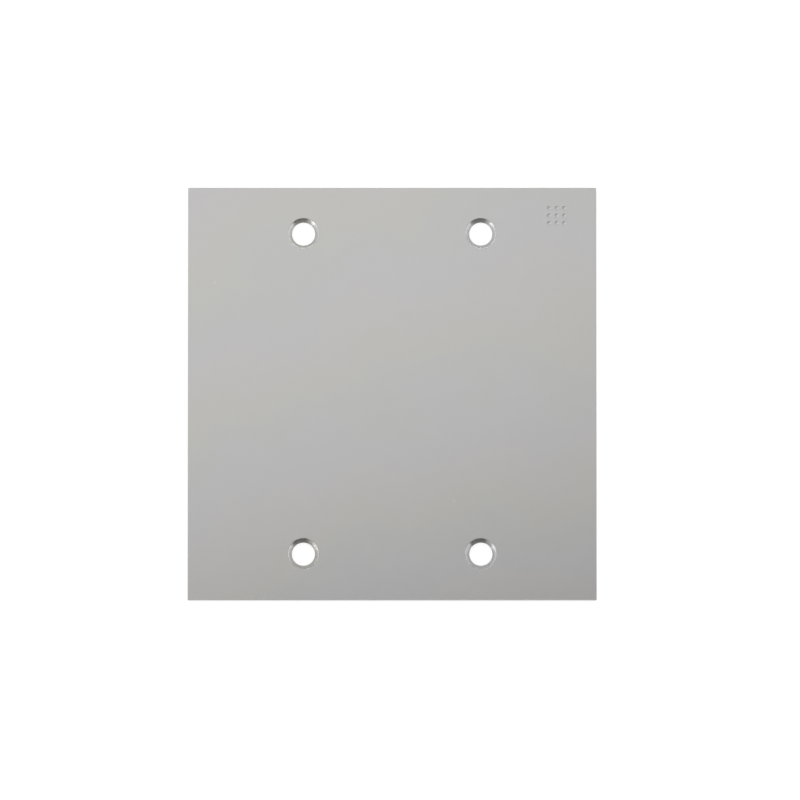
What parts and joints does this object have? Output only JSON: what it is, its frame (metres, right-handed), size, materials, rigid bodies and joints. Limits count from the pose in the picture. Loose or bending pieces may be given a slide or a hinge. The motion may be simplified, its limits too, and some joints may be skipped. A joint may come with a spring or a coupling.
{
  "type": "rectangular cover plate",
  "caption": "Flat, almost square blank cover plate of thin sheet steel, with countersunk screw holes set in from its top and bottom edges.",
  "frame": {"origin": "centre of the back face, the flat face that lies against the box", "axes": "+Z out of the front face, through the sheet; +Y up the gangs, along the slightly longer side; +X across the gangs"},
  "size_m": [0.106, 0.1076, 0.002],
  "materials": {
    "plated_steel": "satin zinc plating on rolled sheet steel, plain and ungrained"
  },
  "bodies": {
    "root": {"cover_plate": "plated_steel"}
  },
  "joints": []
}
